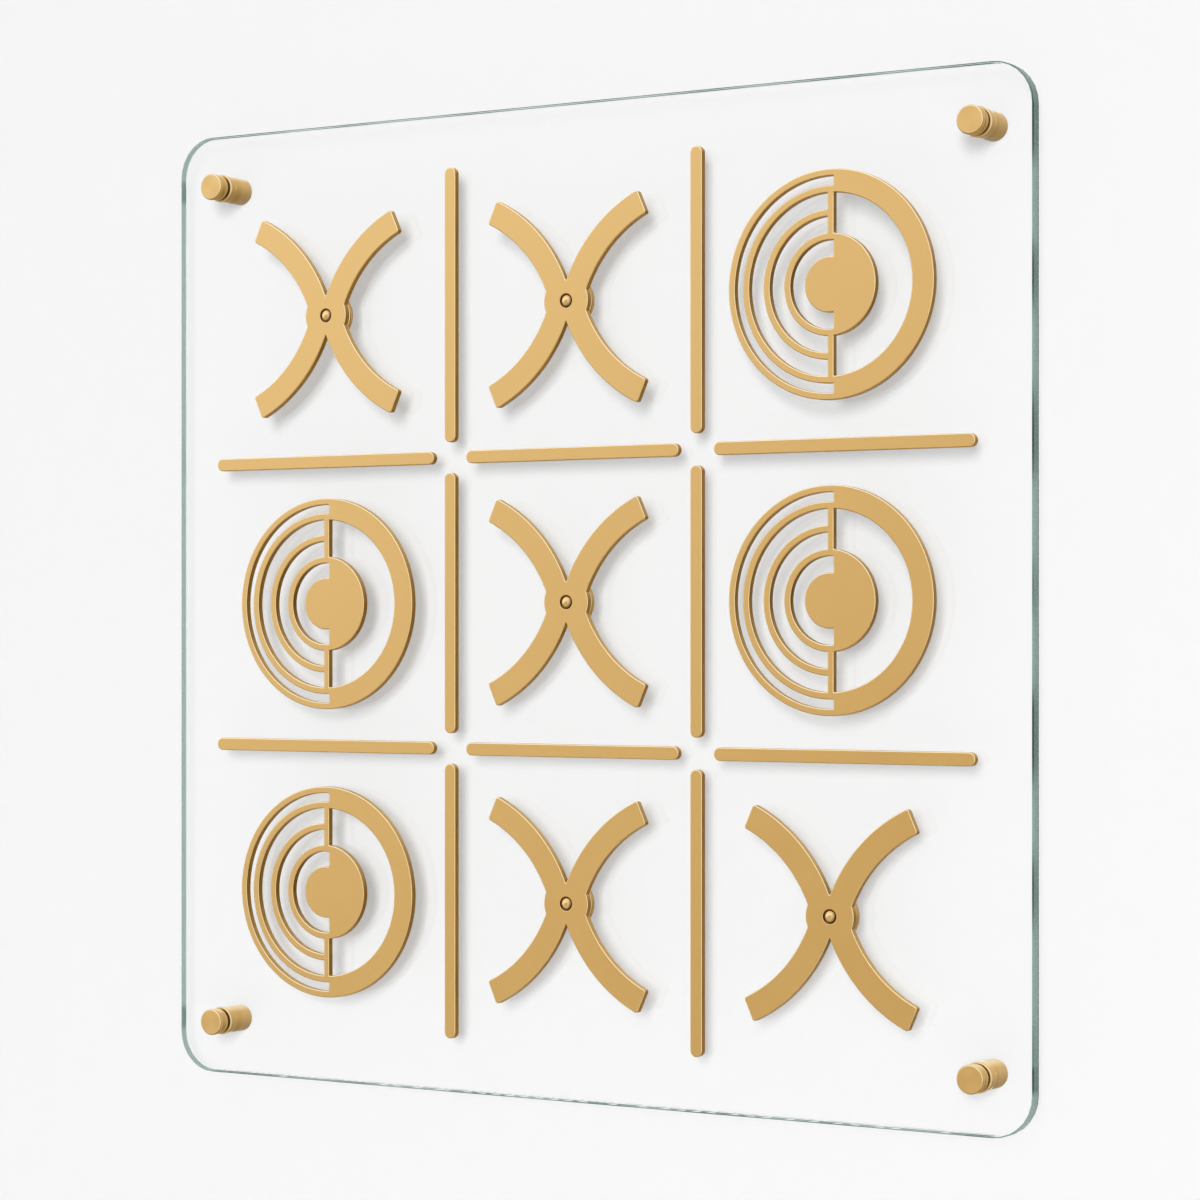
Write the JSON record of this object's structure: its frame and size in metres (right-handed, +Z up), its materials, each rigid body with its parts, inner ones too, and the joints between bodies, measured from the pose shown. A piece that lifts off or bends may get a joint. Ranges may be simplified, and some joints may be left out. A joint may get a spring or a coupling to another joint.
{
  "type": "wall tic-tac-toe board",
  "caption": "Wall-hung tic-tac-toe board: clear glass panel on brass standoffs, with brass grid bars and magnetic cross and ring pieces.",
  "frame": {"origin": "centre of the four wall screws, on the wall plane that the barrels stand on", "axes": "+Y into the wall along the screws, so the front looks along -Y; +Z up; +X to the right seen from the front"},
  "size_m": [0.4572, 0.0557, 0.4572],
  "materials": {
    "glass": "clear float glass, ground edges",
    "brass_brushed": "fine brushed satin",
    "brass_turned": "turned satin",
    "plated_steel": "steel with brass plating, satin",
    "magnet": "nickel plating",
    "rubber": "matte",
    "steel": "zinc plating"
  },
  "bodies": {
    "board": {"glass_panel": "glass", "upright_bar_left_top": "brass_brushed", "upright_bar_left_middle": "brass_brushed", "upright_bar_left_bottom": "brass_brushed", "upright_bar_right_top": "brass_brushed", "upright_bar_right_middle": "brass_brushed", "upright_bar_right_bottom": "brass_brushed", "level_bar_upper_left": "brass_brushed", "level_bar_upper_middle": "brass_brushed", "level_bar_upper_right": "brass_brushed", "level_bar_lower_left": "brass_brushed", "level_bar_lower_middle": "brass_brushed", "level_bar_lower_right": "brass_brushed", "seat_discs": "plated_steel", "standoff_barrels": "brass_turned", "glass_ferrules": "brass_turned", "wall_screws": "steel"},
    "cross_base_tl": {"cross_base_tl": "brass_turned", "cross_magnet_tl": "magnet", "cross_pin_tl": "brass_turned"},
    "cross_plate_tl": {"cross_plate_tl": "brass_brushed"},
    "cross_base_tm": {"cross_base_tm": "brass_turned", "cross_magnet_tm": "magnet", "cross_pin_tm": "brass_turned"},
    "cross_plate_tm": {"cross_plate_tm": "brass_brushed"},
    "cross_base_mm": {"cross_base_mm": "brass_turned", "cross_magnet_mm": "magnet", "cross_pin_mm": "brass_turned"},
    "cross_plate_mm": {"cross_plate_mm": "brass_brushed"},
    "cross_base_bm": {"cross_base_bm": "brass_turned", "cross_magnet_bm": "magnet", "cross_pin_bm": "brass_turned"},
    "cross_plate_bm": {"cross_plate_bm": "brass_brushed"},
    "cross_base_br": {"cross_base_br": "brass_turned", "cross_magnet_br": "magnet", "cross_pin_br": "brass_turned"},
    "cross_plate_br": {"cross_plate_br": "brass_brushed"},
    "ring_base_tr": {"ring_base_tr": "brass_turned", "ring_magnet_tr": "magnet"},
    "ring_plate_tr": {"ring_plate_tr": "brass_brushed"},
    "ring_base_ml": {"ring_base_ml": "brass_turned", "ring_magnet_ml": "magnet"},
    "ring_plate_ml": {"ring_plate_ml": "brass_brushed"},
    "ring_base_mr": {"ring_base_mr": "brass_turned", "ring_magnet_mr": "magnet"},
    "ring_plate_mr": {"ring_plate_mr": "brass_brushed"},
    "ring_base_bl": {"ring_base_bl": "brass_turned", "ring_magnet_bl": "magnet"},
    "ring_plate_bl": {"ring_plate_bl": "brass_brushed"},
    "gasket_tl": {"gasket_tl": "rubber"},
    "cap_tl": {"cap_tl": "brass_turned"},
    "gasket_tr": {"gasket_tr": "rubber"},
    "cap_tr": {"cap_tr": "brass_turned"},
    "gasket_bl": {"gasket_bl": "rubber"},
    "cap_bl": {"cap_bl": "brass_turned"},
    "gasket_br": {"gasket_br": "rubber"},
    "cap_br": {"cap_br": "brass_turned"}
  },
  "joints": [
    {"name": "lift_cross_tl", "type": "slide", "parent": "board", "child": "cross_base_tl", "axis": [0, -1, 0], "range_m": [0, 0.04]},
    {"name": "turn_cross_tl", "type": "hinge", "parent": "cross_base_tl", "child": "cross_plate_tl", "pos_m": [-0.13535, -0.02275, 0.1373], "axis": [0, -1, 0], "continuous": true},
    {"name": "lift_cross_tm", "type": "slide", "parent": "board", "child": "cross_base_tm", "axis": [0, -1, 0], "range_m": [0, 0.04]},
    {"name": "turn_cross_tm", "type": "hinge", "parent": "cross_base_tm", "child": "cross_plate_tm", "pos_m": [0, -0.02275, 0.1373], "axis": [0, -1, 0], "continuous": true},
    {"name": "lift_cross_mm", "type": "slide", "parent": "board", "child": "cross_base_mm", "axis": [0, -1, 0], "range_m": [0, 0.04]},
    {"name": "turn_cross_mm", "type": "hinge", "parent": "cross_base_mm", "child": "cross_plate_mm", "pos_m": [0, -0.02275, 0], "axis": [0, -1, 0], "continuous": true},
    {"name": "lift_cross_bm", "type": "slide", "parent": "board", "child": "cross_base_bm", "axis": [0, -1, 0], "range_m": [0, 0.04]},
    {"name": "turn_cross_bm", "type": "hinge", "parent": "cross_base_bm", "child": "cross_plate_bm", "pos_m": [0, -0.02275, -0.1373], "axis": [0, -1, 0], "continuous": true},
    {"name": "lift_cross_br", "type": "slide", "parent": "board", "child": "cross_base_br", "axis": [0, -1, 0], "range_m": [0, 0.04]},
    {"name": "turn_cross_br", "type": "hinge", "parent": "cross_base_br", "child": "cross_plate_br", "pos_m": [0.13535, -0.02275, -0.1373], "axis": [0, -1, 0], "continuous": true},
    {"name": "lift_ring_tr", "type": "slide", "parent": "board", "child": "ring_base_tr", "axis": [0, -1, 0], "range_m": [0, 0.04]},
    {"name": "turn_ring_tr", "type": "hinge", "parent": "ring_base_tr", "child": "ring_plate_tr", "pos_m": [0.13535, -0.02275, 0.1373], "axis": [0, -1, 0], "continuous": true},
    {"name": "lift_ring_ml", "type": "slide", "parent": "board", "child": "ring_base_ml", "axis": [0, -1, 0], "range_m": [0, 0.04]},
    {"name": "turn_ring_ml", "type": "hinge", "parent": "ring_base_ml", "child": "ring_plate_ml", "pos_m": [-0.13535, -0.02275, 0], "axis": [0, -1, 0], "continuous": true},
    {"name": "lift_ring_mr", "type": "slide", "parent": "board", "child": "ring_base_mr", "axis": [0, -1, 0], "range_m": [0, 0.04]},
    {"name": "turn_ring_mr", "type": "hinge", "parent": "ring_base_mr", "child": "ring_plate_mr", "pos_m": [0.13535, -0.02275, 0], "axis": [0, -1, 0], "continuous": true},
    {"name": "lift_ring_bl", "type": "slide", "parent": "board", "child": "ring_base_bl", "axis": [0, -1, 0], "range_m": [0, 0.04]},
    {"name": "turn_ring_bl", "type": "hinge", "parent": "ring_base_bl", "child": "ring_plate_bl", "pos_m": [-0.13535, -0.02275, -0.1373], "axis": [0, -1, 0], "continuous": true},
    {"name": "cap_travel_tl", "type": "slide", "parent": "board", "child": "gasket_tl", "axis": [0, -1, 0], "range_m": [0, 0.0052]},
    {"name": "cap_screw_tl", "type": "hinge", "parent": "gasket_tl", "child": "cap_tl", "pos_m": [-0.2032, -0.02145, 0.2032], "axis": [0, -1, 0], "range_deg": [0, 1440]},
    {"name": "cap_travel_tr", "type": "slide", "parent": "board", "child": "gasket_tr", "axis": [0, -1, 0], "range_m": [0, 0.0052]},
    {"name": "cap_screw_tr", "type": "hinge", "parent": "gasket_tr", "child": "cap_tr", "pos_m": [0.2032, -0.02145, 0.2032], "axis": [0, -1, 0], "range_deg": [0, 1440]},
    {"name": "cap_travel_bl", "type": "slide", "parent": "board", "child": "gasket_bl", "axis": [0, -1, 0], "range_m": [0, 0.0052]},
    {"name": "cap_screw_bl", "type": "hinge", "parent": "gasket_bl", "child": "cap_bl", "pos_m": [-0.2032, -0.02145, -0.2032], "axis": [0, -1, 0], "range_deg": [0, 1440]},
    {"name": "cap_travel_br", "type": "slide", "parent": "board", "child": "gasket_br", "axis": [0, -1, 0], "range_m": [0, 0.0052]},
    {"name": "cap_screw_br", "type": "hinge", "parent": "gasket_br", "child": "cap_br", "pos_m": [0.2032, -0.02145, -0.2032], "axis": [0, -1, 0], "range_deg": [0, 1440]}
  ],
  "couplings": [
    {"joint": "cap_travel_tl", "follows": "cap_screw_tl", "m_per_rad": 0.00019894},
    {"joint": "cap_travel_tr", "follows": "cap_screw_tr", "m_per_rad": 0.00019894},
    {"joint": "cap_travel_bl", "follows": "cap_screw_bl", "m_per_rad": 0.00019894},
    {"joint": "cap_travel_br", "follows": "cap_screw_br", "m_per_rad": 0.00019894}
  ]
}
